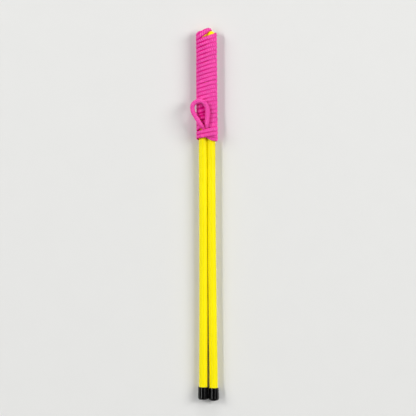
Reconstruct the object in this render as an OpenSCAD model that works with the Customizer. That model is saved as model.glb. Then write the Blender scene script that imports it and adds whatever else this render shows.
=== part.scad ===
// Giant bubble wand, put away: two sticks side by side, bound at the tips by their own wound cord.
// It lies on z = 0 with the tips towards +Y. Sizes are in millimetres.

/* [Sticks] */
// Diameter of each stick
stick_d = 11; // [9:0.5:14]
// Length of each stick
stick_len = 486; // [380:1:600]
// Edge radius of the rounded tips
tip_round = 4; // [2:0.5:4.5]
// Gap between the sticks at the tips
tip_gap = 0.2; // [0.1:0.05:1]
// How far the left stick sits behind the right one
left_set_back = 2.2; // [0:0.1:4]
// Diameter of the cord hole drilled into each tip
cord_hole_d = 4.2; // [3.8:0.1:5]
// Depth of the cord hole
cord_hole_depth = 10; // [8:0.5:20]

/* [End caps] */
// Wall thickness of a cap at its closed end
cap_wall = 1.35; // [1:0.05:3]
// Wall thickness of a cap at its mouth
cap_mouth_wall = 1.1; // [0.8:0.05:2.5]
// Length of a cap
cap_len = 17; // [12:0.5:30]
// Thickness of the closed end
cap_floor = 1.4; // [1:0.1:3]
// Edge radius of the closed end
cap_round = 3; // [1:0.25:4]
// Radial clearance between a stick and its cap
cap_fit = 0.05; // [0.02:0.01:0.1]
// Gap between the two caps
cap_gap = 0.15; // [0.1:0.05:1]
// Space between the left stick's end and the closed end of its cap
left_cap_space = 0.2; // [0.1:0.1:4]
// Space between the right stick's end and the closed end of its cap
right_cap_space = 3.6; // [0.1:0.1:5]

/* [Wound cord] */
// Width of the cord where it is wound tight
wound_w = 4.75; // [3.5:0.05:4.8]
// Thickness of the cord where it is wound tight
wound_t = 2.5; // [1.8:0.1:3]
// Clearance between the cord and the sticks
cord_clear = 0.2; // [0.2:0.05:0.5]
// Turns of each half of the doubled cord
turns = 12; // [6:1:12]
// Distance from one strand to the next along the sticks
strand_pitch = 5.58; // [5.5:0.02:7]
// Start of the winding below the right stick's tip
wind_start = 2.1; // [2:0.1:10]
// Share of a turn that the front of the top turns takes on, beyond an even climb
climb_top = 0.44; // [0:0.02:0.45]
// The same for the lowest turns
climb_low = 0.02; // [0:0.02:0.45]
// How far the last turn is parted from the rest, where the loop comes out
parting = 1.7; // [0.5:0.1:3]
// How far the last turn is lifted by the cord tucked under it
tuck_lift = 2.9; // [2.6:0.1:4]

/* [Hidden] */
$fn = 72;

left = -1;
right = 1;
yellow = "#f7e80a";
black = "#141414";
pink = "#e0409b";

cap_bore_d = stick_d + 2 * cap_fit;
cap_d = cap_bore_d + 2 * cap_wall;
cap_mouth_d = cap_bore_d + 2 * cap_mouth_wall;

// The wand's own frame has y = 0 at the right stick's tip, x = 0 midway and z = 0 through both sticks
tip_sep = stick_d + tip_gap;
cap_sep = cap_d + cap_gap;
splay = atan((cap_sep - tip_sep) / 2 / stick_len);
total_len = stick_len + right_cap_space + cap_floor;

// Each half of the cord is a helix, and the two lie side by side
lead = 2 * strand_pitch;
lay_r = stick_d / 2 + cord_clear + wound_t / 2;
start_u = 0.75;
end_s = turns - 0.08;
rings_per_turn = 24;
wound_sides = 6;
tube_sides = 10;
parting_from = 1.2;
parting_over = 0.45;
lift_edge = 0.16;

// Height of the last front pass of the left half, at the middle: the loop's points are measured from it
last_y = -wind_start - lead * (turns - 0.5 + climb_low / 2) - parting;

// At rest the wand lies on its caps and on the lower end of the winding
cord_low = lay_r + wound_t / 2;
cord_low_y = strand_y(end_s, 1) - wound_w / 2;
cap_low_y = cap_round - total_len;
floor_gap = 0.03;
pitch = asin((cord_low + floor_gap - cap_d / 2) / (cord_low_y - cap_low_y));
rest_z = cap_d / 2 * cos(pitch) - (cap_low_y + total_len / 2) * sin(pitch);

function half_sep(y) = (tip_sep - (cap_sep - tip_sep) * y / stick_len) / 2;
function smooth(t) = let (c = min(max(t, 0), 1)) c * c * (3 - 2 * c);
function unit(v) = v / norm(v);
function across(v, t) = unit(v - t * (v * t));

// Place on the flat oval that the cord follows round both sticks, as [x, z, outward angle],
// for u from 0 at the right side, over the front at 0.25, to the left side at 0.5
function oval(u, y) =
    let (h = half_sep(y), q = lay_r * PI / 2, d = (u - floor(u)) * 4 * (q + h))
    d < q ? corner(h, d / q * 90)
    : d < q + 2 * h ? [h - (d - q), lay_r, 90]
    : d < 3 * q + 2 * h ? corner(-h, 90 + (d - q - 2 * h) / q * 90)
    : d < 3 * q + 4 * h ? [d - 3 * q - 3 * h, -lay_r, 270]
    : corner(h, 270 + (d - 3 * q - 4 * h) / q * 90);
function corner(x, a) = [x + lay_r * cos(a), lay_r * sin(a), a];

// Height of a strand after s turns; half is 0 for the left half of the cord and 1 for the right half
function strand_y(s, half) =
    let (down = lead * s + half * strand_pitch,
         climb = climb_top + (climb_low - climb_top) * down / (lead * turns))
    -wind_start - down - lead * climb * (1 - cos(360 * (s + start_u))) / 2
    - parting * smooth((s - turns + parting_from) / parting_over);
function lift(s) =
    let (u = s + start_u - turns)
    u < 0 || u > 0.5 ? 0 : tuck_lift * smooth(min(u, 0.5 - u) / lift_edge);
function strand(s, half) =
    let (y = strand_y(s, half), o = oval(s + start_u, y), out = [cos(o[2]), 0, sin(o[2])])
    [[o[0], y, o[1]] + out * lift(s), out];
function strand_along(s, half) =
    unit(strand(s + 0.01, half)[0] - strand(s - 0.01, half)[0]);

// A straight run of one cord width past an end of the helix
function run_out(s, half, sign) =
    let (p = strand(s, half), t = strand_along(s, half))
    [p[0] + sign * wound_w * t, p[1], t];

// One ring of a tube, flat sides outwards where it has six
function ring(centre, wide, out, w, t, sides) =
    let (full = sides == wound_sides ? sin(60) : 1)
    [for (k = [0 : sides - 1])
        centre + wide * w / 2 * cos(360 * k / sides) + out * t / 2 / full * sin(360 * k / sides)];

function wound_rings(half) =
    let (n = round(end_s * rings_per_turn),
         first = run_out(0, half, -1), last = run_out(end_s, half, 1))
    concat([end_ring(first)],
           [for (i = [0 : n]) let (p = strand(end_s * i / n, half))
               ring(p[0], [0, 1, 0], p[1], wound_w, wound_t, wound_sides)],
           [end_ring(last)]);
function end_ring(e) = ring(e[0], cross(e[2], e[1]), e[1], wound_w, wound_t, wound_sides);

// Rings of a free stretch along points [x, y, z, width, thickness], with the directions of its two ends.
// The thickness is turned outwards where the cord lies round the sticks.
function free_rings(pts, first, last) =
    let (n = len(pts),
         along = [for (i = [0 : n - 1])
             i == 0 ? first : i == n - 1 ? last : unit(xyz(pts[i + 1]) - xyz(pts[i - 1]))])
    [for (i = 0, o = [0, 0, -1]; i < n; i = i + 1, o = i < n ? outwards(xyz(pts[i]), o, along[i]) : o)
        let (side = across(o, along[i]))
        ring(xyz(pts[i]), cross(along[i], side), side, pts[i][3], pts[i][4], tube_sides)];
function outwards(p, before, along) =
    let (h = half_sep(p[1]), hint = [p[0] - min(max(p[0], -h), h), 0, p[2]])
    across(p[2] > lay_r ? [0, 0, 1] : norm(hint) > lay_r / 2 ? hint : before, along);
function xyz(p) = [p[0], p[1], p[2]];

module tube(rings) {
    m = len(rings[0]);
    n = len(rings);
    points = [for (r = rings) each r];
    walls = [for (i = [0 : n - 2], k = [0 : m - 1])
        let (a = i * m + k, b = i * m + (k + 1) % m)
        each [[a, b, b + m], [a, b + m, a + m]]];
    ends = [for (k = [1 : m - 2]) each [[0, k + 1, k], [(n - 1) * m, (n - 1) * m + k, (n - 1) * m + k + 1]]];
    polyhedron(points = points, faces = concat(walls, ends));
}

// Least gap between neighbouring strands, measured from edge to edge on points along each turn
gap_steps = 96;
edge = wound_w / 2 * [0, 1, 0];
strand_gaps = [for (half = [0, 1], i = [0 : gap_steps * (end_s - 1)])
    let (s = i / gap_steps,
         low = strand(s, half)[0] - edge,
         next_s = s + half)
    min([for (j = [-6 : 6]) norm(low - strand(next_s + j / gap_steps, 1 - half)[0] - edge)])];
echo(least_gap_between_strands = min(strand_gaps));

// The routes below are drawn for these sizes, and follow the sizes that are set
drawn_lay_r = 6.95;
drawn_pitch = 5.58;
drawn_w = 4.75;
drawn_t = 2.5;
function drawn(p) =
    let (k = lay_r / drawn_lay_r)
    [p[0] * k, p[1] * strand_pitch / drawn_pitch, p[2] * k, p[3] * wound_w / drawn_w, p[4] * wound_t / drawn_t];

// Route of the loop from the left half's end to the right half's end, in the wand's own frame:
// x, height above last_y, z, width, thickness
loop_route = [
    [6, -6.2, -6.9, 4.4, 2.4], [8.9, -6.7, -6.35, 4, 2.4], [11.9, -7.4, -3.9, 3.6, 2.3],
    [13, -7.9, -0.4, 3.5, 2.3], [12, -8, 3.6, 3.5, 2.3], [9.2, -7.6, 6.3, 3.5, 2.3],
    [5.6, -6.3, 7, 3.5, 2.3], [2.6, -4, 7, 3.5, 2.3], [0.8, -1.2, 7, 3.5, 2.3],
    [0.3, 1.5, 7.2, 3.6, 2.3], [0, 3.8, 9.1, 4, 2.6], [-0.2, 6.4, 10.6, 4.4, 3.2],
    [-0.1, 11, 10.8, 5.6, 4.2], [0.5, 18, 10.8, 6, 4.4], [0.9, 24, 10.8, 6, 4.4],
    [0.1, 31, 10.8, 6, 4.4], [-2.7, 36, 10.8, 6, 4.4], [-6.6, 38.6, 10.7, 6, 4.4],
    [-10.8, 39, 10.4, 6, 4.4], [-15, 37.8, 9.9, 6, 4.4], [-18, 35, 9.4, 6, 4.4],
    [-19.2, 31, 9.2, 6, 4.4], [-18.8, 26.6, 9.3, 6, 4.4], [-16.9, 21.8, 9.8, 6, 4.4],
    [-14.2, 17.4, 10.4, 6, 4.4], [-11.2, 12.6, 10.8, 5.8, 4.3], [-8, 7.8, 10.8, 4.8, 3.6],
    [-5.8, 5.4, 10.5, 4.4, 3.2], [-5, 3, 9, 4, 2.6], [-4.4, 0.8, 7.2, 3.6, 2.3],
    [-3.6, -2, 7, 3.5, 2.3], [-1.8, -5.4, 7, 3.5, 2.3], [1.6, -8.6, 7, 3.5, 2.3],
    [5.6, -10.8, 7, 3.5, 2.3], [9.4, -11.6, 6.3, 3.5, 2.3], [12.2, -11.8, 3.6, 3.5, 2.3],
    [13, -11.8, -0.4, 3.5, 2.3], [11.9, -11.7, -3.9, 3.6, 2.3], [8.9, -11.5, -6.35, 4, 2.4],
    [6, -11.3, -6.9, 4.4, 2.4]];

// Routes of the tails from the winding's start to the cord holes: x, y, z, width, thickness
left_tail_route = [
    [-9, -4.8, -6.3, 4.7, 2.5], [-11.8, -4.7, -3.8, 4.7, 2.5], [-12.6, -4.3, -0.8, 4.7, 2.5],
    [-11.8, -3.1, 1.4, 4.6, 2.5], [-10.1, -1.4, 2.3, 4.4, 2.5], [-8.1, -0.2, 1.7, 3.8, 2.4],
    [-6.3, -0.6, 0.5, 3.2, 2.2]];
right_tail_route = [
    [-9, -10.3, -6.3, 4.7, 2.5], [-11.8, -10.1, -3.8, 4.7, 2.5], [-12.7, -9.5, -0.4, 4.7, 2.5],
    [-12, -8.5, 3.2, 4.7, 2.5], [-9.8, -6.7, 5.9, 4.7, 2.5], [-6.6, -4.1, 7, 4.7, 2.5],
    [-3.2, -1.3, 6.3, 4.7, 2.5], [0, 1.2, 4.6, 4.6, 2.5], [2.9, 2.6, 2.4, 4.2, 2.4],
    [5.2, 1.8, 0.5, 3, 2.2]];

// The held end of a tail, down the middle of its hole
held_w = 0.81 * cord_hole_d;
held_t = 0.71 * cord_hole_d;
hole_entry = cord_hole_depth / 5;
function held_end(side, tip) =
    let (x = side * half_sep(tip))
    [[x, tip - hole_entry, 0, held_w, held_t], [x, tip - cord_hole_depth + wound_w, 0, held_w, held_t],
     [x, tip - cord_hole_depth + cord_clear, 0, held_w, held_t]];
function wound_end(e) = concat(e[0], [wound_w, wound_t]);

module in_place() {
    translate([0, 0, rest_z]) rotate([pitch, 0, 0]) translate([0, total_len / 2, 0]) children();
}

// Along a stick's own axis: z = 0 at the level of the right tip, and the stick runs down
module on_axis(side) {
    in_place() translate([side * tip_sep / 2, 0, 0]) rotate([-90, 0, side * splay]) children();
}

module rounded_rod(r, len, edge_r) {
    rotate_extrude() {
        translate([0, -len]) square([r, len - edge_r]);
        translate([0, -edge_r]) square([r - edge_r, edge_r]);
        translate([r - edge_r, -edge_r]) intersection() {
            circle(edge_r);
            square(edge_r);
        }
    }
}

module stick(side, set_back) {
    color(yellow) on_axis(side) translate([0, 0, -set_back]) difference() {
        rounded_rod(stick_d / 2, stick_len, tip_round);
        translate([0, 0, -cord_hole_depth]) cylinder(d = cord_hole_d, h = cord_hole_depth + 1);
    }
}

module end_cap(side, set_back, space) {
    r = cap_d / 2;
    color(black) on_axis(side) translate([0, 0, -set_back - stick_len - space - cap_floor]) difference() {
        rotate_extrude() {
            polygon([[0, cap_round], [r, cap_round], [cap_mouth_d / 2, cap_len], [0, cap_len]]);
            square([r - cap_round, cap_round]);
            translate([r - cap_round, cap_round]) mirror([0, 1]) intersection() {
                circle(cap_round);
                square(cap_round);
            }
        }
        translate([0, 0, cap_floor]) cylinder(d = cap_bore_d, h = cap_len);
    }
}

module winding(half) {
    color(pink) in_place() tube(wound_rings(half));
}

module tail(side, half, route, tip) {
    start = run_out(0, half, -1);
    pts = concat([wound_end(start)], [for (p = route) drawn(p)], held_end(side, tip));
    color(pink) in_place() tube(free_rings(pts, -start[2], [0, -1, 0]));
}

module left_stick() stick(left, left_set_back);
module right_stick() stick(right, 0);
module left_end_cap() end_cap(left, left_set_back, left_cap_space);
module right_end_cap() end_cap(right, 0, right_cap_space);
module cord_left_winding() winding(0);
module cord_right_winding() winding(1);
module cord_left_tail() tail(left, 0, left_tail_route, -left_set_back);
module cord_right_tail() tail(right, 1, right_tail_route, 0);

module cord_loop() {
    from = run_out(end_s, 0, 1);
    to = run_out(end_s, 1, 1);
    route = [for (p = loop_route) drawn(p) + [0, last_y, 0, 0, 0]];
    pts = concat([wound_end(from)], route, [wound_end(to)]);
    color(pink) in_place() tube(free_rings(pts, from[2], -to[2]));
}

left_stick();
right_stick();
left_end_cap();
right_end_cap();
cord_left_winding();
cord_right_winding();
cord_loop();
cord_left_tail();
cord_right_tail();
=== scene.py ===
import math

import bpy
import numpy as np
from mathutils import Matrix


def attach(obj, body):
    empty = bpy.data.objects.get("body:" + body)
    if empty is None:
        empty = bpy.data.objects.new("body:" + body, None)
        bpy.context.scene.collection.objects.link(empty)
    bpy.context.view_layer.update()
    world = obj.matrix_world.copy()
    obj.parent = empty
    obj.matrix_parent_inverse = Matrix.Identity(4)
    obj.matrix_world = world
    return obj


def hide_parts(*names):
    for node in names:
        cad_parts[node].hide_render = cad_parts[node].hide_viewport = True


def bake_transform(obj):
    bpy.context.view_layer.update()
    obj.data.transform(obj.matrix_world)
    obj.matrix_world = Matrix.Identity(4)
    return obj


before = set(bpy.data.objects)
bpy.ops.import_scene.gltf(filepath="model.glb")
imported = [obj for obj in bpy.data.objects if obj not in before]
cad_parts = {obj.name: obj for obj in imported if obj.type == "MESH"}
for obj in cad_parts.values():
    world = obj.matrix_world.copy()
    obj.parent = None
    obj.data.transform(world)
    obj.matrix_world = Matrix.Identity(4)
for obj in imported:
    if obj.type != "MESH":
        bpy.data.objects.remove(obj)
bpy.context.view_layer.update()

scene = bpy.context.scene
scene.view_settings.view_transform = "Standard"
mm = 0.001                  # the wand is laid out in mm, Blender works in metres
quarter = math.pi / 2
print("frame loaded:", sorted(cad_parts))


def linearColour(hexText):
    parts = [int(hexText[i:i + 2], 16) / 255 for i in (1, 3, 5)]
    return [c / 12.92 if c <= 0.04045 else ((c + 0.055) / 1.055) ** 2.4 for c in parts] + [1.0]


def addNode(tree, kind, settings=None, links=None):
    # numbers and known socket names set inputs, any other name sets the node itself
    node = tree.nodes.new(kind)
    for name, value in (settings or {}).items():
        if isinstance(name, int) or (name in node.inputs and not hasattr(node, name)):
            node.inputs[name].default_value = value
        else:
            setattr(node, name, value)
    for name, source in (links or {}).items():
        tree.links.new(source, node.inputs[name])
    return node


def emptyMaterial(name):
    material = bpy.data.materials.new(name)
    material.use_nodes = True
    material.node_tree.nodes.clear()
    return material, material.node_tree


def meshPiece(name, points, faces, materials, faceMaterials=None):
    mesh = bpy.data.meshes.new(name)
    mesh.from_pydata(np.asarray(points).tolist(), [], faces)
    for material in materials:
        mesh.materials.append(material)
    if faceMaterials is not None:
        mesh.polygons.foreach_set("material_index", np.asarray(faceMaterials, dtype=np.int32))
    mesh.polygons.foreach_set("use_smooth", np.ones(len(faces), dtype=bool))
    mesh.update()
    piece = bpy.data.objects.new(name, mesh)
    scene.collection.objects.link(piece)
    return piece


def tubeFaces(ringCount, sides):
    # four-sided faces from ring to ring, then one face to close each end
    ring = np.arange(ringCount - 1)[:, None] * sides
    here = np.arange(sides)[None, :]
    after = (here + 1) % sides
    quads = np.stack([ring + here, ring + after, ring + sides + after, ring + sides + here], -1)
    firstEnd = list(range(sides))[::-1]
    lastEnd = [(ringCount - 1) * sides + i for i in range(sides)]
    return quads.reshape(-1, 4).tolist() + [firstEnd, lastEnd]


def smoothStep(t):
    t = np.clip(t, 0, 1)
    return t * t * (3 - 2 * t)


def between(value, span):
    # eases from 0 at the span's start to 1 at its end
    return smoothStep((value - span[0]) / (span[1] - span[0]))


# the wand's own frame: mm, y = 0 at the right tip, x = 0 midway, z = 0 through both sticks

wand = {
    "stickDiameter": 11.0,
    "stickLength": 486.0,
    "tipGap": 0.2,
    "leftSetBack": 2.2,     # the left stick starts this much lower
    "capWall": 1.35,
    "capFit": 0.05,
    "capGap": 0.15,
    "capRound": 3.0,
    "capFloor": 1.4,
    "leftCapSpace": 0.2,    # from the stick's end to the floor of its cap
    "rightCapSpace": 3.6,
    "restGap": 0.03,        # the winding's lower end stands this far off the floor
}
stickR = wand["stickDiameter"] / 2
capR = stickR + wand["capFit"] + wand["capWall"]
tipSep = wand["stickDiameter"] + wand["tipGap"]
capSep = 2 * capR + wand["capGap"]
splay = math.atan((capSep - tipSep) / 2 / wand["stickLength"])
totalLength = wand["stickLength"] + wand["rightCapSpace"] + wand["capFloor"]

winding = {
    "turns": 12,
    "endShort": 0.08,       # the last turn stops this share of a turn early
    "strandPitch": 5.58,
    "windStart": 2.1,
    "startAround": 0.75,    # in turns from the right edge, over the front: this is mid back
    "climbTop": 0.44,       # how much of a turn's climb the front takes on, top and bottom
    "climbLow": 0.02,
    "parting": 1.7,         # the last turn sits this much lower
    "partFrom": 1.2,        # turns before the end at which it starts to part
    "partRun": 0.45,
    "tuckLift": 2.9,        # and it is lifted by the cord that is tucked under it
    "liftEdge": 0.16,
    "layRadius": 6.95,      # from a stick's axis to the middle of the cord
    "solidWidth": 4.75,     # of the cord in the solids
    "solidThick": 2.5,
}
lead = 2 * winding["strandPitch"]
layR = winding["layRadius"]
endTurn = winding["turns"] - winding["endShort"]
# where the middle of the last turn's front lies, in turns and then in mm
lastMiddle = winding["turns"] - 0.5 + winding["climbLow"] / 2
lastY = -winding["windStart"] - lead * lastMiddle - winding["parting"]


def halfSep(y):
    # half the way from one stick's axis to the other's
    return (tipSep - (capSep - tipSep) * y / wand["stickLength"]) / 2


def strandY(turn, half):
    # how far up the sticks one half of the cord lies
    down = lead * turn + half * winding["strandPitch"]
    lowShare = down / (lead * winding["turns"])
    climb = winding["climbTop"] + (winding["climbLow"] - winding["climbTop"]) * lowShare
    sway = (1 - np.cos(2 * np.pi * (turn + winding["startAround"]))) / 2
    parted = smoothStep((turn - winding["turns"] + winding["partFrom"]) / winding["partRun"])
    return -winding["windStart"] - down - lead * climb * sway - winding["parting"] * parted


# it lies on its caps and on the winding's lower end, so it leans a little
cordLowY = float(strandY(np.array(endTurn), 1)) - winding["solidWidth"] / 2
capLowY = wand["capRound"] - totalLength
cordLow = layR + winding["solidThick"] / 2
lean = math.asin((cordLow + wand["restGap"] - capR) / (cordLowY - capLowY))
restZ = capR * math.cos(lean) - (capLowY + totalLength / 2) * math.sin(lean)


def toRow(points):
    # wand frame in mm to the part's frame in metres
    p = np.asarray(points, dtype=float)
    along = p[..., 1] + totalLength / 2
    y = along * math.cos(lean) - p[..., 2] * math.sin(lean)
    z = restZ + along * math.sin(lean) + p[..., 2] * math.cos(lean)
    return np.stack([p[..., 0], y, z], -1) * mm


print("wand frame: lean %.4f deg, axis %.3f mm up" % (math.degrees(lean), restZ))

# camera, straight down on the wand

photoView = {
    "mmPerPixel": 1.33,
    "imageSize": 416,
    "wandAt": (207.48, 216.05),   # pixel of the wand's middle
    "tilt": 0.0057,               # the wand's top leans left by this, in radians
    "distance": 2.4,
    "sensor": 36.0,
    "farthest": 50.0,
}
pixel = photoView["mmPerPixel"] * mm
cameraData = bpy.data.cameras.new("photoCamera")
cameraData.sensor_width = photoView["sensor"]
cameraData.lens = photoView["sensor"] * photoView["distance"] / (photoView["imageSize"] * pixel)
cameraData.clip_end = photoView["farthest"]
camera = bpy.data.objects.new("photoCamera", cameraData)
offX = (photoView["imageSize"] / 2 - photoView["wandAt"][0]) * pixel
offY = (photoView["wandAt"][1] - photoView["imageSize"] / 2) * pixel
tiltCos = math.cos(photoView["tilt"])
tiltSin = math.sin(photoView["tilt"])
cameraHeight = photoView["distance"] + restZ * mm
camera.location = (offX * tiltCos + offY * tiltSin, offY * tiltCos - offX * tiltSin, cameraHeight)
camera.rotation_euler = (0, 0, -photoView["tilt"])
scene.collection.objects.link(camera)
scene.camera = camera
print("camera placed, lens %.1f mm" % cameraData.lens)

# the cord: lengths in mm

cordLook = {
    "woundWidth": 5.72,        # along the sticks, so that neighbours touch
    "woundThick": 2.72,
    "crown": 0.43,             # the strands stand rounder where nothing presses on their front
    "loopRise": 0.3,           # so the loop lies this much higher
    "loopOver": 8.9,           # where its route is above this
    "freeThick": (2.6, 3.8),   # held flat at the first thickness, quite free at the second
    "wobble": 0.066,           # hand wound: strands stray along the sticks by about this
    # the waves in that: size, pace, start, and what the cord's other half adds to the start
    "strayWaves": [(1.0, 3.7, 0.0, 1.9), (0.7, 8.3, 0.8, 2.3), (0.4, 17.1, 0.0, 1.0)],
    "holdStart": 0.5,          # turns over which the straying comes and goes at the ends
    "holdEnd": 0.8,
    "widthStray": (0.03, 5.3),  # share by which the width varies, and how fast
    "leftSag": 1.1,            # strands dip this much where they turn over the left edge
    "sagReach": 0.1,           # turns
    "sagFade": 3.0,            # and less so over these last turns above the tuck
    "valleyPinch": 0.5,        # strands draw in where they bridge the valley between the sticks
    "valleyAt": -1.6,
    "valleyReach": 2.2,
    "valleyMix": (2.4, 1.3),   # makes that uneven from turn to turn and half to half
    "pushEase": 0.14,          # share of the front over which a push comes and goes
    "squeezeSink": 0.35,       # a squeezed strand sinks by this share of the width it loses
    "ovalPower": 0.96,         # of the section: 1 is an oval, less is boxier
    "pulledBoxy": 0.22,        # taken off where the cord is pulled round the sticks
    "tightBoxy": 0.38,         # and where strands are drawn tighter: on the right and lower down
    "tightRight": (-4.0, 9.0),
    "tightLow": (-20.0, -65.0),
    "tightLowMost": 0.9,
    "slackAt": (-5.5, -111.0),  # but they are slack under the loop
    "slackReach": (6.0, 15.0),
    "stepsPerTurn": 170,
    "routeStep": 0.3,
    "runOut": 3.0,             # straight run past the winding's ends
    "holdDepths": (2.0, 5.25, 9.8),   # down the hole in a tip
    "holdSize": (3.4, 3.0),
    "ringStep": 0.4,
    "ringSides": 36,
    "smoothing": {"mid": 1, "size": 5, "out": 3, "free": 4, "crown": 6},      # in rings
    "plaits": 6,               # plaits round the cord each way
    "plaitRun": 2.7,           # along the cord from one plait to the next
    "relief": 0.42,            # from the top of a plait to the gap beside it
    "reliefMean": 0.75,        # share of it that lies below the plain section
    "plaitPower": 0.8,         # below 1 makes broad plaits and narrow gaps
    "crossDip": 0.4,           # how far a plait dips where one crosses it
    "floorGap": 0.02,
    "pathEvery": 3,            # rings between the points of the cord's path
    "blendAt": -70.0,          # height at which it is shared between the sticks
}

# strands pushed aside at the tips, over the valley, under the loop and round the tuck:
# half, turn at the right edge, from and to across the front, shift up the sticks, added width
pushedStrands = [
    (0, 0.25, 0.4, 1.15, 0.6, 0.5), (1, 0.25, 0.4, 1.15, 0.4, 0.5),
    (1, 0.25, 0.46, 0.68, 0.1, -0.7), (0, 1.25, 0.46, 0.68, -0.1, -0.4),
    (1, 2.25, 0.46, 0.68, 0.15, -0.4), (0, 3.25, 0.46, 0.68, -0.15, -0.4),
    (1, 8.25, 0.5, 0.95, -0.6, 1.0), (0, 9.25, 0.45, 0.95, -0.2, -2.4),
    (1, 9.25, 0.5, 0.95, 0.5, 0.6), (0, 10.25, 0.52, 0.95, -0.5, -0.5),
    (0, 10.25, -0.25, 0.46, -0.4, 0.7), (1, 10.25, -0.25, 0.5, -0.9, 1.1),
    (1, 10.25, 0.78, 1.2, -0.9, 1.2), (0, 11.25, -0.25, 0.46, 0.4, 0.6),
    (0, 11.25, 0.62, 1.15, -0.6, -0.5), (1, 11.25, 0.6, 1.15, -0.1, -0.4)]
# x, height above lastY, z, width, thickness: from the left half's end to the right half's end
loopRoute = [
    (6, -6.2, -6.9, 4.9, 2.6), (8.9, -6.7, -6.35, 4.4, 2.5), (11.9, -7.4, -3.9, 4.1, 2.5),
    (13, -7.9, -0.4, 4.0, 2.5), (12, -8, 3.6, 4.0, 2.5), (9.2, -7.6, 6.3, 4.0, 2.5),
    (5.6, -6.3, 7, 4.0, 2.5), (2.6, -4, 7, 3.9, 2.5), (0.8, -1.2, 7, 3.9, 2.5),
    (0.3, 1.5, 7.2, 4.0, 2.5), (0, 3.8, 9.1, 4.4, 2.9), (-0.2, 6.4, 10.6, 5.0, 3.6),
    (-0.1, 11, 10.8, 5.8, 4.3), (0.5, 18, 10.8, 6, 4.4), (0.9, 24, 10.8, 6, 4.4),
    (0.1, 31, 10.8, 6, 4.4), (-2.7, 36, 10.8, 6, 4.4), (-6.6, 38.6, 10.7, 6, 4.4),
    (-10.8, 39, 10.4, 6, 4.4), (-15, 37.8, 9.9, 6, 4.4), (-18, 35, 9.4, 6, 4.4),
    (-19.2, 31, 9.2, 6, 4.4), (-18.8, 26.6, 9.3, 6, 4.4), (-16.9, 21.8, 9.8, 6, 4.4),
    (-14.2, 17.4, 10.4, 6, 4.4), (-11.2, 12.6, 10.8, 5.9, 4.4), (-8, 7.8, 10.8, 5.2, 4.0),
    (-5.8, 5.4, 10.5, 4.8, 3.5), (-5, 3, 9, 4.3, 2.9), (-4.4, 0.8, 7.2, 4.0, 2.5),
    (-3.6, -2, 7, 3.9, 2.5), (-1.8, -5.4, 7, 3.9, 2.5), (1.6, -8.6, 7, 3.9, 2.5),
    (5.6, -10.8, 7, 4.0, 2.5), (9.4, -11.6, 6.3, 4.0, 2.5), (12.2, -11.8, 3.6, 4.0, 2.5),
    (13, -11.8, -0.4, 4.0, 2.5), (11.9, -11.7, -3.9, 4.1, 2.5), (8.9, -11.5, -6.35, 4.4, 2.5),
    (6, -11.3, -6.9, 4.9, 2.6)]
# x, y, z, width, thickness: from the winding's start to the hole in the tip
leftTailRoute = [
    (-9, -4.8, -6.3, 5.3, 2.7), (-11.8, -5.0, -3.8, 5.4, 2.7), (-12.6, -4.9, -0.8, 5.5, 2.7),
    (-11.8, -3.8, 1.4, 5.2, 2.7), (-10.1, -2.1, 2.4, 4.5, 2.7), (-8.1, -0.9, 1.9, 3.9, 2.6),
    (-6.3, -1.1, 0.6, 3.5, 2.6)]
rightTailRoute = [
    (-9, -10.3, -6.3, 5.3, 2.7), (-11.8, -10.5, -3.8, 5.3, 2.7), (-12.7, -10.2, -0.4, 5.5, 2.7),
    (-12, -9.2, 3.2, 5.9, 2.7), (-9.8, -7.1, 5.9, 6.5, 2.8), (-6.6, -4.4, 7.1, 7.4, 2.9),
    (-3.2, -1.8, 6.5, 7.2, 2.9), (0, 0.5, 4.9, 6.2, 2.8), (2.9, 2.0, 2.6, 4.9, 2.7),
    (5.2, 1.6, 0.6, 3.6, 2.6)]


def ovalPlace(around, y):
    # the flat oval round both sticks: x, z and the outward angle
    reach = halfSep(y)
    bend = layR * quarter
    run = (around % 1) * 4 * (bend + reach)
    spans = [run < bend, run < bend + 2 * reach, run < 3 * bend + 2 * reach, run < 3 * bend + 4 * reach]
    front = np.full_like(run, quarter)
    leftTurn = front + (run - bend - 2 * reach) / layR
    rightTurn = 3 * front + (run - 3 * bend - 4 * reach) / layR
    angle = np.select(spans, [run / layR, front, leftTurn, 3 * front], rightTurn)
    slide = np.select(spans, [reach, reach - (run - bend), -reach, run - 3 * bend - 3 * reach], reach)
    return slide + layR * np.cos(angle), layR * np.sin(angle), angle


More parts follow.
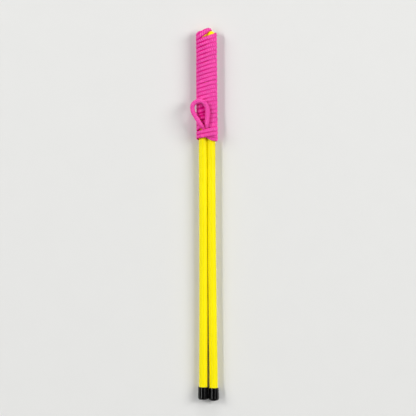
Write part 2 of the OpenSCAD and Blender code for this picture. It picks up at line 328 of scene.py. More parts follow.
def strandLine(half):
    # middle of one half of the cord through its turns, with sections and outward directions
    count = int(endTurn * cordLook["stepsPerTurn"])
    turn = np.linspace(0, endTurn, count)
    around = turn + winding["startAround"]          # whole at the right edge, a half on at the left
    y = strandY(turn, half)
    x, z, angle = ovalPlace(around, y)
    out = np.stack([np.cos(angle), np.zeros(count), np.sin(angle)], -1)
    lastFront = around - winding["turns"]
    fromEdge = np.minimum(lastFront, 0.5 - lastFront)
    rise = winding["tuckLift"] * smoothStep(fromEdge / winding["liftEdge"])
    started = smoothStep(turn / cordLook["holdStart"])
    held = started * smoothStep((endTurn - turn) / cordLook["holdEnd"])      # no straying at the ends
    stray = np.zeros(count)
    for size, pace, start, other in cordLook["strayWaves"]:
        stray += size * np.sin(turn * pace + start + half * other)
    sagging = started * smoothStep((winding["turns"] - 1 - turn) / cordLook["sagFade"])
    atLeft = np.exp(-((around % 1 - 0.5) / cordLook["sagReach"]) ** 2)
    y = y + cordLook["wobble"] * held * stray - cordLook["leftSag"] * sagging * atLeft
    wider = np.zeros(count)
    ease = cordLook["pushEase"]
    for side, first, start, end, shift, added in pushedStrands:
        if side == half:
            across = (turn - first) / 0.5           # the front is half a turn
            pushed = smoothStep((across - start) / ease) * smoothStep((end - across) / ease)
            y = y + shift * pushed
            wider = wider + added * pushed
    turnMix, halfMix = cordLook["valleyMix"]
    uneven = 0.5 + 0.5 * np.sin(np.round(around - 0.25) * turnMix + half * halfMix)
    valley = np.exp(-((x - cordLook["valleyAt"]) / cordLook["valleyReach"]) ** 2) * (z > 0)
    wider = wider - cordLook["valleyPinch"] * valley * uneven
    line = np.stack([x, y, z], -1) + out * rise[:, None]
    way = np.gradient(line, axis=0)
    way /= np.linalg.norm(way, axis=1)[:, None]
    slant = np.sqrt(1 - way[:, 1] ** 2)             # a slanting strand takes up more of the stick
    varyShare, varyPace = cordLook["widthStray"]
    vary = 1 + varyShare * held * np.sin(turn * varyPace + half)
    width = (cordLook["woundWidth"] + wider) * slant * vary
    thick = cordLook["woundThick"] + cordLook["squeezeSink"] * np.minimum(wider, 0)
    return np.column_stack([line, width, thick]), out


def splineThrough(points, startWay, endWay, step):
    # smooth curve through listed points, leaving and arriving along the given directions
    p = np.asarray(points, dtype=float)
    n = len(p)
    chord = np.linalg.norm(np.diff(p[:, :3], axis=0), axis=1)
    t = np.concatenate([[0], np.cumsum(chord)])
    system = np.zeros((n, n))
    right = np.zeros((n, 3))
    system[0, 0] = system[-1, -1] = 1
    right[0], right[-1] = startWay, endWay
    for i in range(1, n - 1):
        a, b = chord[i - 1], chord[i]
        system[i, i - 1], system[i, i], system[i, i + 1] = b, 2 * (a + b), a
        right[i] = 3 * (b * (p[i, :3] - p[i - 1, :3]) / a + a * (p[i + 1, :3] - p[i, :3]) / b)
    slopes = np.linalg.solve(system, right)
    at = np.linspace(0, t[-1], int(t[-1] / step))
    k = np.clip(np.searchsorted(t, at, side="right") - 1, 0, n - 2)
    h = chord[k][:, None]
    s = (at - t[k])[:, None] / h
    line = ((2 * s ** 3 - 3 * s ** 2 + 1) * p[k, :3] + (s ** 3 - 2 * s ** 2 + s) * h * slopes[k]
            + (3 * s ** 2 - 2 * s ** 3) * p[k + 1, :3] + (s ** 3 - s ** 2) * h * slopes[k + 1])
    return np.column_stack([line, np.interp(at, t, p[:, 3]), np.interp(at, t, p[:, 4])])


def outwardAlong(line):
    # the thickness faces away from the sticks, and is carried along where the cord turns into a tip
    out = np.zeros((len(line), 3))
    way = np.gradient(line[:, :3], axis=0)
    way /= np.linalg.norm(way, axis=1)[:, None]
    before = np.array([0.0, 0.0, -1.0])
    for i, p in enumerate(line[:, :3]):
        reach = halfSep(p[1])
        hint = np.array([p[0] - min(max(p[0], -reach), reach), 0, p[2]])
        if p[2] > layR:
            hint = np.array([0.0, 0.0, 1.0])
        elif np.linalg.norm(hint) < layR / 2:
            hint = before
        square = hint - way[i] * hint.dot(way[i])
        before = square / np.linalg.norm(square)
        out[i] = before
    return out


def runOut(row, inner):
    # a straight run past the winding's end, and its direction
    way = row[:3] - inner[:3]
    way = way / np.linalg.norm(way)
    return np.concatenate([row[:3] + way * cordLook["runOut"], row[3:]]), way


def freeStretch(rows, startWay, endWay):
    line = splineThrough(rows, startWay, endWay, cordLook["routeStep"])
    return line, outwardAlong(line)


def heldEnd(side, tip):
    x = side * float(halfSep(tip))
    return [(x, tip - depth, 0, *cordLook["holdSize"]) for depth in cordLook["holdDepths"]]


leftLine, leftOut = strandLine(0)
rightLine, rightOut = strandLine(1)
leftStart, leftStartWay = runOut(leftLine[0], leftLine[1])
rightStart, rightStartWay = runOut(rightLine[0], rightLine[1])
leftEnd, leftEndWay = runOut(leftLine[-1], leftLine[-2])
rightEnd, rightEndWay = runOut(rightLine[-1], rightLine[-2])
down = np.array([0.0, -1.0, 0.0])
leftTailRows = [leftLine[0], leftStart, *leftTailRoute, *heldEnd(-1, -wand["leftSetBack"])]
leftTail, leftTailOut = freeStretch(leftTailRows, leftStartWay, down)
rightTailRows = [rightLine[0], rightStart, *rightTailRoute, *heldEnd(1, 0.0)]
rightTail, rightTailOut = freeStretch(rightTailRows, rightStartWay, down)
loopMiddle = [(x, y + lastY, z + cordLook["loopRise"] * (z > cordLook["loopOver"]), w, t)
              for x, y, z, w, t in loopRoute]
loopRows = [leftLine[-1], leftEnd, *loopMiddle, rightEnd, rightLine[-1]]
loopLine, loopOut = freeStretch(loopRows, leftEndWay, -rightEndWay)

# one cord from tip to tip
cordRow = np.vstack([leftTail[::-1], leftLine[1:], loopLine[1:-1], rightLine[::-1], rightTail[1:]])
cordOut = np.vstack([leftTailOut[::-1], leftOut[1:], loopOut[1:-1], rightOut[::-1], rightTailOut[1:]])
loopStart = len(leftTail) + len(leftLine) - 1
loopPart = slice(loopStart, loopStart + len(loopLine) - 2)
cordFree = np.zeros(len(cordRow))
cordFree[loopPart] = between(cordRow[loopPart, 4], cordLook["freeThick"])
cordCrown = cordLook["crown"] * np.maximum(cordOut[:, 2], 0) ** 2
cordCrown[loopPart] = 0             # nothing proud under the tuck

# even rings along it
gone = np.concatenate([[0], np.cumsum(np.linalg.norm(np.diff(cordRow[:, :3], axis=0), axis=1))])
cordLength = gone[-1]
ringCount = int(cordLength / cordLook["ringStep"])
ringAt = np.linspace(0, cordLength, ringCount)


def alongCord(values, spread):
    # values at the rings, smoothed over about so many of them
    even = np.column_stack([np.interp(ringAt, gone, v) for v in values.T])
    weight = np.exp(-0.5 * (np.arange(-3 * spread, 3 * spread + 1) / spread) ** 2)
    weight /= weight.sum()
    padded = np.vstack([even[:1]] * (3 * spread) + [even] + [even[-1:]] * (3 * spread))
    return np.column_stack([np.convolve(v, weight, "valid") for v in padded.T])


smoothing = cordLook["smoothing"]
ringMid = alongCord(cordRow[:, :3], smoothing["mid"])
ringSize = alongCord(cordRow[:, 3:], smoothing["size"])
ringOut = alongCord(cordOut, smoothing["out"])
ringFree = alongCord(cordFree[:, None], smoothing["free"])[:, 0]
ringCrown = alongCord(cordCrown[:, None], smoothing["crown"])
tangent = np.gradient(ringMid, axis=0)
tangent /= np.linalg.norm(tangent, axis=1)[:, None]
ringOut -= tangent * (ringOut * tangent).sum(1)[:, None]
ringOut /= np.linalg.norm(ringOut, axis=1)[:, None]
ringSide = np.cross(tangent, ringOut)

# how boxy each ring is
pulled = np.clip(1 - np.maximum(ringOut[:, 2], ringFree), 0, 1)
slackX = (ringMid[:, 0] - cordLook["slackAt"][0]) / cordLook["slackReach"][0]
slackY = (ringMid[:, 1] - cordLook["slackAt"][1]) / cordLook["slackReach"][1]
slack = np.exp(-slackX ** 2 - slackY ** 2)
tightLow = cordLook["tightLowMost"] * between(ringMid[:, 1], cordLook["tightLow"])
tightRight = between(ringMid[:, 0], cordLook["tightRight"])
tight = np.maximum(tightRight, tightLow) * (1 - ringFree) * (1 - slack)
ringCrown *= (1 - tight)[:, None]
boxy = cordLook["pulledBoxy"] * pulled + cordLook["tightBoxy"] * tight * (1 - pulled)
power = (cordLook["ovalPower"] - boxy)[:, None]

# the section, then the plaits raised on it
sides = cordLook["ringSides"]
share = np.arange(sides) / sides
cosine = np.cos(2 * np.pi * share)
sine = np.sin(2 * np.pi * share)
halfWide = ringSize[:, :1] / 2
halfDeep = ringSize[:, 1:] / 2
wide = halfWide * np.sign(cosine) * np.abs(cosine) ** power
deep = (halfDeep + ringCrown * (sine > 0)) * np.sign(sine) * np.abs(sine) ** power
plaitA = cordLook["plaits"] * share[None, :] - ringAt[:, None] / cordLook["plaitRun"]
plaitB = cordLook["plaits"] * share[None, :] + ringAt[:, None] / cordLook["plaitRun"]
crossed = 1 - cordLook["crossDip"] * (1 - np.abs(np.sin(np.pi * plaitB)))
ridge = np.abs(np.sin(np.pi * plaitA)) ** cordLook["plaitPower"] * crossed
bulge = cordLook["relief"] * (ridge - cordLook["reliefMean"])
faceSize = np.sqrt((cosine / halfWide) ** 2 + (sine / halfDeep) ** 2)
wide += bulge * cosine / halfWide / faceSize
deep += bulge * sine / halfDeep / faceSize
sectionPoints = ringSide[:, None] * wide[..., None] + ringOut[:, None] * deep[..., None]
cordPoints = toRow(ringMid[:, None] + sectionPoints)
cordPoints[..., 2] = np.maximum(cordPoints[..., 2], cordLook["floorGap"] * mm)     # soft, so it lies flat
cordFaces = [face[::-1] for face in tubeFaces(ringCount, sides)]

freeRun = ringAt[ringFree > 0.5] * mm               # the loop's stretch of the cord
loopMid = (freeRun[0] + freeRun[-1]) / 2
loopHalf = (freeRun[-1] - freeRun[0]) / 2

cordFibre = {
    "colour": "#FD52B4",
    "gapShadeColour": "#C00073",
    "paleColour": "#FF8FD0",
    "sideShadeColour": "#DE0082",      # painted shade: a deeper colour down the strands' sides, where neighbours meet
    "sheenTint": "#FFC4E6",
    "plaitWidth": 1.6,            # mm across a plait, about
    "fibreWidth": 0.28,           # mm; real filaments are finer, drawn coarse so that they show
    "fibreLength": 2.6,
    "blotch": 14.0,               # mm, patches where the dye took more or less
    "roughness": {"To Min": 0.68, "To Max": 0.9},
    "specular": 0.06,
    "sheen": 0.03,
    "sheenRough": 0.45,
    "gapShadeRise": {"From Min": 0.05, "From Max": 0.95},      # painted shade in the gap beside a plait, easing off to its top
    "crossShadeRise": {"From Max": 0.35, "To Min": 0.55},      # painted shade where plaits cross
    "paleShare": {"From Min": 0.45, "From Max": 0.75, "To Max": 0.55},    # fibres that catch the light
    "sideShadeRise": {"From Min": 0.42, "From Max": 0.86},     # painted shade from a strand's crest down to its side
    # the painted side shade eases off on the right, where the light falls
    "rightLitEase": {"From Min": -4 * mm, "From Max": 9 * mm, "To Min": 1.0, "To Max": 0.45},
    "loopEdge": {"From Min": loopHalf - 6 * mm, "From Max": loopHalf + 2 * mm},
    # painted shade under the loop: its middle and reach, then how it fades and how much of a strand's
    # sides it takes
    "shadeAt": (-4.0, -110.0, 0.0),                       # mm, in the wand's frame
    "shadeReach": (12 * mm, 21 * mm, 1.0),
    "shadeRise": {"From Min": 1.0, "From Max": 0.5},
    "shadeSides": {"From Min": -0.2, "From Max": 0.6},
    "blotchTone": {"From Min": 0.3, "From Max": 0.7, "To Min": 0.93, "To Max": 1.04},
}


def makePolyesterBraid():
    # polyester multifilament, braided soft: matt, with painted shade in the gaps between plaits and down
    # the strands' sides, and pale fuzzy tops
    material, tree = emptyMaterial("polyesterBraid")
    run = addNode(tree, "ShaderNodeUVMap", {"uv_map": "cordRun"})
    parts = addNode(tree, "ShaderNodeSeparateXYZ", links={0: run.outputs["UV"]})
    spot = addNode(tree, "ShaderNodeTexCoord").outputs["Object"]
    along = addNode(tree, "ShaderNodeMath", {"operation": "DIVIDE", 1: cordLook["plaitRun"] * mm},
                    {0: parts.outputs["X"]})
    across = addNode(tree, "ShaderNodeMath", {"operation": "MULTIPLY", 1: float(cordLook["plaits"])},
                     {0: parts.outputs["Y"]})
    plaits = []
    tops = []
    for operation in ("SUBTRACT", "ADD"):       # the plaits one way, then those that cross them
        plait = addNode(tree, "ShaderNodeMath", {"operation": operation},
                        {0: across.outputs[0], 1: along.outputs[0]})
        angle = addNode(tree, "ShaderNodeMath", {"operation": "MULTIPLY", 1: math.pi},
                        {0: plait.outputs[0]})
        wave = addNode(tree, "ShaderNodeMath", {"operation": "SINE"}, {0: angle.outputs[0]})
        plaits.append(plait)
        tops.append(addNode(tree, "ShaderNodeMath", {"operation": "ABSOLUTE"}, {0: wave.outputs[0]}))

    # filaments run along the plait: fine across it, long along it
    perWidth = cordFibre["plaitWidth"] / cordFibre["fibreWidth"]
    perLength = cordFibre["plaitWidth"] / cordFibre["fibreLength"]
    fine = addNode(tree, "ShaderNodeMath", {"operation": "MULTIPLY", 1: perWidth},
                   {0: plaits[0].outputs[0]})
    drawn = addNode(tree, "ShaderNodeMath", {"operation": "MULTIPLY", 1: perLength},
                    {0: plaits[1].outputs[0]})
    place = addNode(tree, "ShaderNodeCombineXYZ", links={"X": fine.outputs[0], "Y": drawn.outputs[0]})
    fibres = addNode(tree, "ShaderNodeTexNoise", {"Scale": 1.0, "Detail": 3.0, "Roughness": 0.6},
                     {"Vector": place.outputs[0]})

    # painted shade in the gaps beside plaits and where they cross, pink plaits, pale fibres
    gap = addNode(tree, "ShaderNodeMapRange", cordFibre["gapShadeRise"], {"Value": tops[0].outputs[0]})
    crossing = addNode(tree, "ShaderNodeMapRange", cordFibre["crossShadeRise"], {"Value": tops[1].outputs[0]})
    gapShadeMix = addNode(tree, "ShaderNodeMath", {"operation": "MULTIPLY"},
                   {0: gap.outputs[0], 1: crossing.outputs[0]})
    # the painted shade colour goes into the gaps between plaits
    body = addNode(tree, "ShaderNodeMix",
                   {"data_type": "RGBA", 6: linearColour(cordFibre["gapShadeColour"]),
                    7: linearColour(cordFibre["colour"])}, {0: gapShadeMix.outputs[0]})
    paler = addNode(tree, "ShaderNodeMapRange", cordFibre["paleShare"], {"Value": fibres.outputs["Fac"]})
    lit = addNode(tree, "ShaderNodeMix", {"data_type": "RGBA", 7: linearColour(cordFibre["paleColour"])},
                  {0: paler.outputs[0], 6: body.outputs[2]})

    # painted shade down a strand's sides, less on the right, where the light falls and strands lie
    # flatter
    turnAngle = addNode(tree, "ShaderNodeMath", {"operation": "MULTIPLY", 1: 2 * math.pi},
                        {0: parts.outputs["Y"]})
    flankWave = addNode(tree, "ShaderNodeMath", {"operation": "COSINE"}, {0: turnAngle.outputs[0]})
    flank = addNode(tree, "ShaderNodeMath", {"operation": "ABSOLUTE"}, {0: flankWave.outputs[0]})
    sideShade = addNode(tree, "ShaderNodeMapRange", cordFibre["sideShadeRise"], {"Value": flank.outputs[0]})
    sideways = addNode(tree, "ShaderNodeSeparateXYZ", links={0: spot})
    easing = addNode(tree, "ShaderNodeMapRange", cordFibre["rightLitEase"], {"Value": sideways.outputs["X"]})
    eased = addNode(tree, "ShaderNodeMath", {"operation": "MULTIPLY"},
                    {0: sideShade.outputs[0], 1: easing.outputs[0]})

    # painted shade under the loop: the strands there are darkened towards deep magenta
    fromShade = addNode(tree, "ShaderNodeMapping",
                        {"vector_type": "TEXTURE", "Location": tuple(toRow(cordFibre["shadeAt"])),
                         "Scale": cordFibre["shadeReach"]}, {"Vector": spot})
    shadeOff = addNode(tree, "ShaderNodeVectorMath", {"operation": "LENGTH"}, {0: fromShade.outputs[0]})
    shade = addNode(tree, "ShaderNodeMapRange", cordFibre["shadeRise"],
                    {"Value": shadeOff.outputs["Value"]})
    lower = addNode(tree, "ShaderNodeMapRange", cordFibre["shadeSides"], {"Value": flank.outputs[0]})
    shaded = addNode(tree, "ShaderNodeMath", {"operation": "MULTIPLY"},
                     {0: lower.outputs[0], 1: shade.outputs[0]})
    most = addNode(tree, "ShaderNodeMath", {"operation": "MAXIMUM"},
                   {0: eased.outputs[0], 1: shaded.outputs[0]})

    # but the painted shade is kept off the loop itself
    offMiddle = addNode(tree, "ShaderNodeMath", {"operation": "SUBTRACT", 1: loopMid},
                        {0: parts.outputs["X"]})
    offLoop = addNode(tree, "ShaderNodeMath", {"operation": "ABSOLUTE"}, {0: offMiddle.outputs[0]})
    bound = addNode(tree, "ShaderNodeMapRange", cordFibre["loopEdge"], {"Value": offLoop.outputs[0]})
    edge = addNode(tree, "ShaderNodeMath", {"operation": "MULTIPLY"},
                   {0: most.outputs[0], 1: bound.outputs[0]})
    # mixes in the painted shade colour
    deeper = addNode(tree, "ShaderNodeMix",
                     {"data_type": "RGBA", 7: linearColour(cordFibre["sideShadeColour"])},
                     {0: edge.outputs[0], 6: lit.outputs[2]})

    blotch = addNode(tree, "ShaderNodeTexNoise", {"Scale": 1 / (cordFibre["blotch"] * mm), "Detail": 2.0},
                     {"Vector": spot})
    patch = addNode(tree, "ShaderNodeMapRange", cordFibre["blotchTone"], {"Value": blotch.outputs["Fac"]})
    toned = addNode(tree, "ShaderNodeHueSaturation",
                    links={"Value": patch.outputs[0], "Color": deeper.outputs[2]})
    rough = addNode(tree, "ShaderNodeMapRange", cordFibre["roughness"], {"Value": fibres.outputs["Fac"]})
    bump = addNode(tree, "ShaderNodeBump", {"Strength": 0.7, "Distance": 0.18 * mm},
                   {"Height": fibres.outputs["Fac"]})
    shader = addNode(tree, "ShaderNodeBsdfPrincipled",
                     {"IOR": 1.5, "Specular IOR Level": cordFibre["specular"],
                      "Sheen Weight": cordFibre["sheen"], "Sheen Roughness": cordFibre["sheenRough"],
                      "Sheen Tint": linearColour(cordFibre["sheenTint"])},
                     {"Base Color": toned.outputs[0], "Roughness": rough.outputs[0],
                      "Normal": bump.outputs[0]})
    addNode(tree, "ShaderNodeOutputMaterial", links={"Surface": shader.outputs[0]})
    return material


cordPiece = meshPiece("braidedCord", cordPoints.reshape(-1, 3), cordFaces, [makePolyesterBraid()])

# the braid's map: metres along the cord, share of the way round
ringU = ringAt * mm
quadU = np.stack([ringU[1:], ringU[1:], ringU[:-1], ringU[:-1]], -1)[:, None, :].repeat(sides, 1)
nextShare = share + 1 / sides
quadV = np.stack([share, nextShare, nextShare, share], -1)[None, :, :].repeat(ringCount - 1, 0)
quadMap = np.stack([quadU, quadV], -1).reshape(-1, 2)
firstMap = np.column_stack([np.full(sides, ringU[0]), share])
lastMap = np.column_stack([np.full(sides, ringU[-1]), share])[::-1]
runMap = cordPiece.data.uv_layers.new(name="cordRun")
runMap.uv.foreach_set("vector", np.vstack([quadMap, firstMap, lastMap]).astype(np.float32).ravel())

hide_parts("cord_left_winding", "cord_right_winding", "cord_loop", "cord_left_tail",
            "cord_right_tail")
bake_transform(cordPiece)
print("cord: %.1f mm long, %d rings" % (cordLength, ringCount))

# sticks: lengths in mm

stickLook = {
    "roundSides": 72,
    "tipRound": 4.0,
    "tipSteps": 14,
    "lengthSteps": 150,
    "holeRadius": 2.1,
    "holeDepth": 10.0,
    "holeRings": (6.0, 3.0, 1.0, 0.4),
    "holeLip": 0.2,
    "endChamfer": 0.6,
    "endRing": 2.5,
    "pole": 0.3,             # radius of the little face that closes each end of a turned shape
    "bowMost": 0.735,        # the sticks are sprung towards each other by this much each
    "bowEnd": 468.0,         # from the tip to the cap
    "bowSkew": 1.26,         # above 1 puts the most bow below the middle
    "bowEase": 60.0,
}
enamel = {
    "colour": "#F9EA02",
    "thinColour": "#F0D700",
    "scuffColour": "#D8BC10",
    "grainWidth": 0.9,       # mm across the grain that shows through the paint
    "grainLength": 45.0,
    "cloud": 38.0,           # mm, slow changes of tone
    "peel": 2.2,             # mm, the paint's orange peel
    "scuffWidth": 1.111,     # mm
    "scuffLength": 14.286,
    "scuffSlant": 0.12,
    "specular": 0.1,
    "thinShare": {"From Min": 0.35, "From Max": 0.75, "To Max": 0.35},
    "scuffShare": {"From Min": 0.68, "From Max": 0.78, "To Max": 0.45},
    "cloudTone": {"From Min": 0.3, "From Max": 0.7, "To Min": 0.965, "To Max": 1.02},
    "roughness": {"To Min": 0.36, "To Max": 0.52},
}
beech = {
    "colour": "#D9B98A",
    "ringColour": "#B98F5C",
    "ringWidth": 3.157,      # mm from one growth ring to the next
    "heart": (0.02, 0.0, 0.013),    # the rings' middle lies off the stick, m
    "pore": 0.35,            # mm
    "poreTone": {"From Min": 0.55, "From Max": 0.75, "To Min": 1.0, "To Max": 0.75},
}


def makeYellowEnamel():
    # alkyd enamel dipped over a beech dowel: smooth half gloss, faint grain below, a few scuffs
    material, tree = emptyMaterial("yellowEnamel")
    spot = addNode(tree, "ShaderNodeTexCoord").outputs["Object"]
    acrossGrain = 1 / (enamel["grainWidth"] * mm)
    alongGrain = 1 / (enamel["grainLength"] * mm)
    drawn = addNode(tree, "ShaderNodeMapping", {"Scale": (acrossGrain, alongGrain, acrossGrain)},
                    {"Vector": spot})
    grain = addNode(tree, "ShaderNodeTexNoise", {"Scale": 1.0, "Detail": 3.0, "Roughness": 0.55},
                    {"Vector": drawn.outputs[0]})
    cloud = addNode(tree, "ShaderNodeTexNoise", {"Scale": 1 / (enamel["cloud"] * mm), "Detail": 2.0},
                    {"Vector": spot})
    peel = addNode(tree, "ShaderNodeTexNoise", {"Scale": 1 / (enamel["peel"] * mm), "Detail": 1.0},
                   {"Vector": spot})
    acrossScuff = 1 / (enamel["scuffWidth"] * mm)
    alongScuff = 1 / (enamel["scuffLength"] * mm)
    rubbed = addNode(tree, "ShaderNodeMapping",
                     {"Scale": (acrossScuff, alongScuff, acrossScuff),
                      "Rotation": (0, 0, enamel["scuffSlant"])}, {"Vector": spot})
    scuff = addNode(tree, "ShaderNodeTexNoise", {"Scale": 1.0, "Detail": 4.0, "Roughness": 0.7},
                    {"Vector": rubbed.outputs[0]})
    thin = addNode(tree, "ShaderNodeMapRange", enamel["thinShare"], {"Value": grain.outputs["Fac"]})
    base = addNode(tree, "ShaderNodeMix",
                   {"data_type": "RGBA", 6: linearColour(enamel["colour"]),
                    7: linearColour(enamel["thinColour"])}, {0: thin.outputs[0]})
    marks = addNode(tree, "ShaderNodeMapRange", enamel["scuffShare"], {"Value": scuff.outputs["Fac"]})
    marked = addNode(tree, "ShaderNodeMix", {"data_type": "RGBA", 7: linearColour(enamel["scuffColour"])},
                     {0: marks.outputs[0], 6: base.outputs[2]})
    tone = addNode(tree, "ShaderNodeMapRange", enamel["cloudTone"], {"Value": cloud.outputs["Fac"]})
    toned = addNode(tree, "ShaderNodeHueSaturation",
                    links={"Value": tone.outputs[0], "Color": marked.outputs[2]})
    rough = addNode(tree, "ShaderNodeMapRange", enamel["roughness"], {"Value": scuff.outputs["Fac"]})
    peelBump = addNode(tree, "ShaderNodeBump", {"Strength": 0.25, "Distance": 0.08 * mm},
                       {"Height": peel.outputs["Fac"]})
    grainBump = addNode(tree, "ShaderNodeBump", {"Strength": 0.3, "Distance": 0.06 * mm},
                        {"Height": grain.outputs["Fac"], "Normal": peelBump.outputs[0]})
    shader = addNode(tree, "ShaderNodeBsdfPrincipled",
                     {"IOR": 1.5, "Specular IOR Level": enamel["specular"]},
                     {"Base Color": toned.outputs[0], "Roughness": rough.outputs[0],
                      "Normal": grainBump.outputs[0]})
    addNode(tree, "ShaderNodeOutputMaterial", links={"Surface": shader.outputs[0]})
    return material


def makeBeechEnd():
    # sawn beech end grain, left bare where the cap covers it: pale, dry, with growth rings and pores
    material, tree = emptyMaterial("beechEndGrain")
    spot = addNode(tree, "ShaderNodeTexCoord").outputs["Object"]
    shift = addNode(tree, "ShaderNodeMapping", {"Location": beech["heart"], "Scale": (1.0, 0.0, 1.0)},
                    {"Vector": spot})
    ringScale = math.pi / 10 / (beech["ringWidth"] * mm)        # the wave repeats every pi / 10
    rings = addNode(tree, "ShaderNodeTexWave",
                    {"wave_type": "RINGS", "rings_direction": "SPHERICAL", "Scale": ringScale,
                     "Distortion": 1.5, "Detail": 2.0, "Detail Scale": 1.0}, {"Vector": shift.outputs[0]})
    pores = addNode(tree, "ShaderNodeTexNoise", {"Scale": 1 / (beech["pore"] * mm), "Detail": 2.0},
                    {"Vector": spot})
    base = addNode(tree, "ShaderNodeMix",
                   {"data_type": "RGBA", 6: linearColour(beech["colour"]),
                    7: linearColour(beech["ringColour"])}, {0: rings.outputs["Fac"]})
    specks = addNode(tree, "ShaderNodeMapRange", beech["poreTone"], {"Value": pores.outputs["Fac"]})
    toned = addNode(tree, "ShaderNodeHueSaturation",
                    links={"Value": specks.outputs[0], "Color": base.outputs[2]})
    bump = addNode(tree, "ShaderNodeBump", {"Strength": 0.4, "Distance": 0.1 * mm},
                   {"Height": pores.outputs["Fac"]})
    shader = addNode(tree, "ShaderNodeBsdfPrincipled",
                     {"IOR": 1.5, "Roughness": 0.85, "Specular IOR Level": 0.2},
                     {"Base Color": toned.outputs[0], "Normal": bump.outputs[0]})
    addNode(tree, "ShaderNodeOutputMaterial", links={"Surface": shader.outputs[0]})
    return material


def bowAt(below):
    # one easy curve from the tip to the cap, straight inside the cap
    along = np.clip(below / stickLook["bowEnd"], 0, 1)
    ease = smoothStep((1 - along) * stickLook["bowEnd"] / stickLook["bowEase"])
    return stickLook["bowMost"] * np.sin(np.pi * along ** stickLook["bowSkew"]) * ease


def straightAxis(side, below):
    # middle and slope of a stick's axis so far below the right tip
    x = side * (tipSep / 2 + below * math.sin(splay))
    return np.column_stack([x, -below * math.cos(splay)]), np.full(len(below), math.tan(splay))


def bowedAxis(side, below):
    mid, slope = straightAxis(side, below)
    mid[:, 0] -= side * bowAt(below)
    return mid, slope - (bowAt(below + 0.5) - bowAt(below - 0.5))       # over 1 mm


def turned(name, profile, side, axisAt, materials, kinds, sides, proud=None):
    # a profile of (radius, distance below the right tip) turned about a stick's axis
    profile = np.asarray(profile, dtype=float)
    angle = 2 * np.pi * np.arange(sides) / sides
    mid, slope = axisAt(side, profile[:, 1])
    radius = profile[:, :1] + (0 if proud is None else proud(profile, angle))
    across = radius * np.cos(angle) / np.sqrt(1 + slope ** 2)[:, None]
    x = mid[:, :1] + across
    y = mid[:, 1:] + side * slope[:, None] * across
    points = toRow(np.stack([x, y, radius * np.sin(angle)], -1)).reshape(-1, 3)
    faceKinds = np.concatenate([np.repeat(kinds[:-1], sides), [kinds[0], kinds[-1]]])
    return meshPiece(name, points, tubeFaces(len(profile), sides), materials, faceKinds)


def arc(midRadius, midDistance, size, start, end, steps):
    # part of a rounded corner of a profile
    return [(midRadius + size * math.cos(t), midDistance + size * math.sin(t))
            for t in np.linspace(start, end, steps)]


def standFor(piece, node):
    # the piece is seen instead of its solid and moves with it
    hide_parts(node)
    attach(piece, node)


def makeStick(name, node, side, setBack, materials):
    edge, hole, depth = stickLook["tipRound"], stickLook["holeRadius"], stickLook["holeDepth"]
    lip, pole, chamfer = stickLook["holeLip"], stickLook["pole"], stickLook["endChamfer"]
    end = wand["stickLength"]
    flat = stickR - edge
    arcStart = math.asin((hole + lip - flat) / edge) - quarter
    profile = [(pole, depth), (hole - lip, depth), (hole, depth - lip)]
    profile += [(hole, d) for d in stickLook["holeRings"]] + [(hole + 0.3 * lip, lip)]
    profile += arc(flat, edge, edge, arcStart, 0, stickLook["tipSteps"])
    profile += [(stickR, d) for d in np.linspace(edge + 2, end - chamfer, stickLook["lengthSteps"])]
    painted = len(profile) - 1
    profile += [(stickR - chamfer / 2, end - chamfer / 4), (stickR - chamfer, end)]
    profile += [(stickLook["endRing"], end), (pole, end)]
    profile = [(r, d + setBack) for r, d in profile]
    kinds = [0] * painted + [1] * (len(profile) - painted)
    piece = turned(name, profile, side, bowedAxis, materials, kinds, stickLook["roundSides"])
    standFor(piece, node)


stickMaterials = [makeYellowEnamel(), makeBeechEnd()]
makeStick("leftStickPainted", "left_stick", -1, wand["leftSetBack"], stickMaterials)
makeStick("rightStickPainted", "right_stick", 1, 0.0, stickMaterials)
print("sticks turned and painted")

# end caps: lengths in mm

capLook = {
    "length": 17.0,
    "mouthWall": 1.1,
    "lip": 0.35,
    "innerRound": 0.5,
    "boreFrom": 4.0,
    "endRing": 2.4,
    "pole": 0.3,
    "gateRadius": 1.1,       # the little sunk mark where the mould was filled
    "gateDepth": 0.25,
    "seamHeight": 0.05,
    "seamWidth": 0.03,       # sine of half the angle it takes up
    "roundSides": 128,
}
vinyl = {
    "colour": "#030303",
    "wornColour": "#08080A",
    "grit": 0.6,             # mm, the mould's fine matt texture, drawn coarse enough to show
    "smear": 7.0,            # mm, patches rubbed by hands
    "specular": 0.3,
    "rubShare": {"From Min": 0.45, "From Max": 0.75},
    "roughness": {"To Min": 0.06, "To Max": 0.2},
}


def makeBlackVinyl():
    # soft PVC, injection moulded: near black, waxy shine, a fine mould texture and rubbed patches
    material, tree = emptyMaterial("blackVinyl")
    spot = addNode(tree, "ShaderNodeTexCoord").outputs["Object"]
    grit = addNode(tree, "ShaderNodeTexNoise", {"Scale": 1 / (vinyl["grit"] * mm), "Detail": 3.0},
                   {"Vector": spot})
    smear = addNode(tree, "ShaderNodeTexNoise",
                    {"Scale": 1 / (vinyl["smear"] * mm), "Detail": 3.0, "Distortion": 0.6},
                    {"Vector": spot})
    rub = addNode(tree, "ShaderNodeMapRange", vinyl["rubShare"], {"Value": smear.outputs["Fac"]})
    base = addNode(tree, "ShaderNodeMix",
                   {"data_type": "RGBA", 6: linearColour(vinyl["colour"]),
                    7: linearColour(vinyl["wornColour"])}, {0: rub.outputs[0]})
    rough = addNode(tree, "ShaderNodeMapRange", vinyl["roughness"], {"Value": smear.outputs["Fac"]})
    bump = addNode(tree, "ShaderNodeBump", {"Strength": 0.2, "Distance": 0.05 * mm},
                   {"Height": grit.outputs["Fac"]})
    shader = addNode(tree, "ShaderNodeBsdfPrincipled",
                     {"IOR": 1.53, "Specular IOR Level": vinyl["specular"]},
                     {"Base Color": base.outputs[2], "Roughness": rough.outputs[0],
                      "Normal": bump.outputs[0]})
    addNode(tree, "ShaderNodeOutputMaterial", links={"Surface": shader.outputs[0]})
    return material


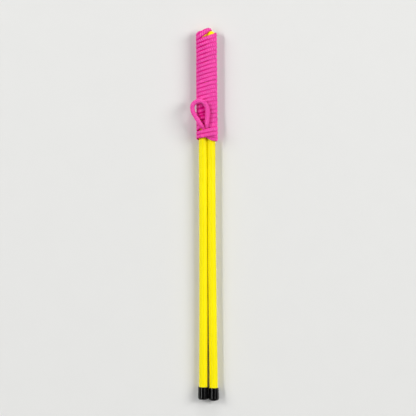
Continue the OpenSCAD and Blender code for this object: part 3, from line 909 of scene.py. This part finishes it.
def makeCap(name, node, side, setBack, space, material):
    # the profile runs up the inside, over the lip, down the outside and across the closed end;
    # its curves start a little way in, so that no ring lies on the one before
    bore = stickR + wand["capFit"]
    mouthR = bore + capLook["mouthWall"]
    inner, lip, edge = capLook["innerRound"], capLook["lip"], wand["capRound"]
    bottom, pole = wand["capFloor"], capLook["pole"]
    mouth = capLook["length"] - lip
    profile = [(pole, bottom), (bore - inner, bottom)]
    profile += arc(bore - inner, bottom + inner, inner, 0.3 - quarter, 0, 4)
    profile += [(bore, d) for d in np.linspace(capLook["boreFrom"], mouth, 6)]
    profile += arc(bore + lip, mouth, lip, math.pi - 0.4, quarter, 4)
    profile += arc(mouthR - lip, mouth, lip, quarter, 0, 5)
    shares = np.linspace(0.08, 1, 9)        # of the way down the tapered outside
    profile += [(mouthR + (capR - mouthR) * s, mouth + (edge - mouth) * s) for s in shares]
    profile += arc(capR - edge, edge, edge, -0.15, -quarter, 9)
    gate, sunk = capLook["gateRadius"], capLook["gateDepth"]
    profile += [(capLook["endRing"], 0), (gate + 0.15, 0), (gate, 0.06), (gate - 0.1, sunk), (pole, sunk)]
    end = setBack + wand["stickLength"] + space + bottom        # of the closed end, below the right tip
    profile = [(r, end - d) for r, d in profile]

    def seam(rows, angle):
        # the mould's parting line runs down both sides of the outside
        outside = rows[:, :1] > mouthR - capLook["seamHeight"]
        onSeam = np.abs(np.sin(angle)) < capLook["seamWidth"]
        return capLook["seamHeight"] * (outside & onSeam[None, :])

    kinds = [0] * len(profile)
    piece = turned(name, profile, side, straightAxis, [material], kinds, capLook["roundSides"], seam)
    standFor(piece, node)


capMaterial = makeBlackVinyl()
makeCap("leftCapMoulded", "left_end_cap", -1, wand["leftSetBack"], wand["leftCapSpace"], capMaterial)
makeCap("rightCapMoulded", "right_end_cap", 1, 0.0, wand["rightCapSpace"], capMaterial)
print("caps moulded")

# floor and light: metres and watts

floorLook = {
    "size": 24.0,
    "colour": "#DFDFDD",
    "roll": 40.0,            # mm, marks of the paint roller
    "rollTone": {"To Min": 0.99, "To Max": 1.01},
}


def makePaleBoard():
    # painted board, rolled matt: pale, with hardly any tone
    material, tree = emptyMaterial("paleBoard")
    spot = addNode(tree, "ShaderNodeTexCoord").outputs["Object"]
    roll = addNode(tree, "ShaderNodeTexNoise", {"Scale": 1 / (floorLook["roll"] * mm), "Detail": 2.0},
                   {"Vector": spot})
    tone = addNode(tree, "ShaderNodeMapRange", floorLook["rollTone"], {"Value": roll.outputs["Fac"]})
    base = addNode(tree, "ShaderNodeHueSaturation", {"Color": linearColour(floorLook["colour"])},
                   {"Value": tone.outputs[0]})
    shader = addNode(tree, "ShaderNodeBsdfPrincipled", {"Roughness": 0.9, "Specular IOR Level": 0.1},
                     {"Base Color": base.outputs[0]})
    addNode(tree, "ShaderNodeOutputMaterial", links={"Surface": shader.outputs[0]})
    return material


far = floorLook["size"] / 2
floorCorners = [(-far, -far, 0), (far, -far, 0), (far, far, 0), (-far, far, 0)]
floor = meshPiece("floor", floorCorners, [(0, 1, 2, 3)], [makePaleBoard()])

# soft boxes, two long strips that draw the lines of light on the caps, and a rake from behind
lightSet = {
    "boxLeft": {"at": (-4.4, 2.0, 3.4), "size": (2.0, 2.4), "power": 128},
    "boxRight": {"at": (4.4, 1.4, 3.4), "size": (2.4, 2.8), "power": 228},
    "stripLeft": {"at": (-3.92, -0.4, 4.48), "size": (6.0, 0.48), "power": 132},
    "stripRight": {"at": (3.12, -0.4, 4.6), "size": (6.0, 0.4), "power": 44},
    "rakeTop": {"at": (0.2, 6.0, 3.0), "size": (4.8, 2.0), "power": 108},
}
roomLook = {
    "wall": "#E6E6E4",       # pale walls, dark ceiling
    "ceiling": "#2A2A2B",
    "wallRise": {"interpolation_type": "SMOOTHSTEP", "From Max": 0.34},   # the ceiling is reached here
}
for name, entry in lightSet.items():
    lamp = bpy.data.lights.new(name, "AREA")
    lamp.shape = "RECTANGLE"
    lamp.size, lamp.size_y = entry["size"]
    lamp.energy = entry["power"]
    lampObject = bpy.data.objects.new(name, lamp)
    lampObject.location = entry["at"]
    lampObject.rotation_euler = (-lampObject.location).to_track_quat("-Z", "Y").to_euler()
    scene.collection.objects.link(lampObject)
world = bpy.data.worlds.new("studio")
world.use_nodes = True
worldTree = world.node_tree
worldTree.nodes.clear()
ray = addNode(worldTree, "ShaderNodeTexCoord")
rayParts = addNode(worldTree, "ShaderNodeSeparateXYZ", links={0: ray.outputs["Generated"]})
rayHeight = addNode(worldTree, "ShaderNodeMapRange", roomLook["wallRise"],
                    {"Value": rayParts.outputs["Z"]})
room = addNode(worldTree, "ShaderNodeMix",
               {"data_type": "RGBA", 6: linearColour(roomLook["wall"]),
                7: linearColour(roomLook["ceiling"])}, {0: rayHeight.outputs[0]})
sky = addNode(worldTree, "ShaderNodeBackground", links={"Color": room.outputs[2]})
addNode(worldTree, "ShaderNodeOutputWorld", links={"Surface": sky.outputs[0]})
scene.world = world
print("floor and lights set")
